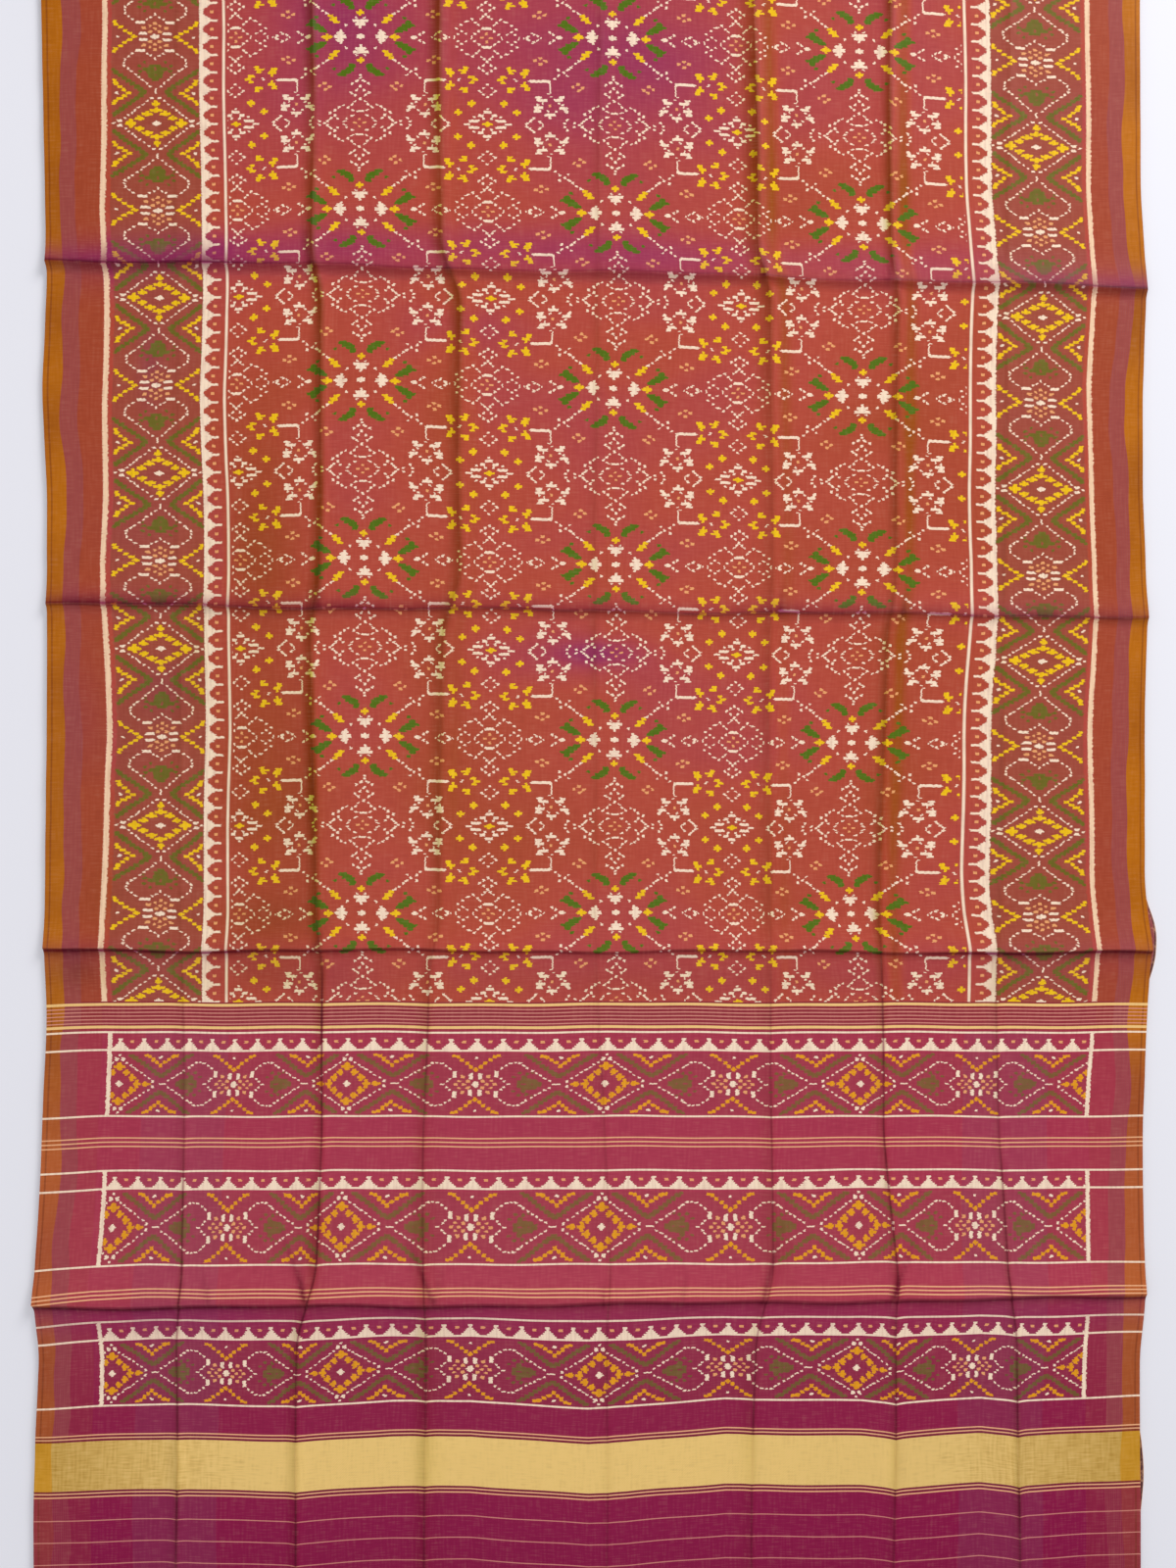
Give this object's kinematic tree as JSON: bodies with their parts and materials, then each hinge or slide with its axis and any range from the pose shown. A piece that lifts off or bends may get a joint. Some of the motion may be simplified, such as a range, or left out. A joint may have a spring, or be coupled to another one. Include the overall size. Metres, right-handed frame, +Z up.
{
  "type": "saree laid flat and folded",
  "caption": "Orange and magenta silk patola saree laid flat and folded, with its ikat field, side borders and gold-lined pallu uppermost.",
  "frame": {"origin": "middle of the bounding box, on the flat underside", "axes": "+X along the weft to the picture's right, +Y along the warp towards the head fold, +Z up out of the cloth's face"},
  "size_m": [1.1487, 1.83, 0.0133],
  "materials": {
    "silk_field": "silk sheen, shot orange and magenta, tie-dyed pattern",
    "silk_pallu": "silk sheen, magenta weft, gold thread bands",
    "silk_hidden": "silk sheen, folded edges"
  },
  "bodies": {
    "root": {"field_head_stretch": "silk_field", "field_middle_stretch": "silk_field", "field_low_stretch": "silk_field", "pallu_start_stretch": "silk_pallu", "pallu_end_stretch": "silk_pallu", "folded_layers": "silk_hidden"}
  },
  "joints": []
}
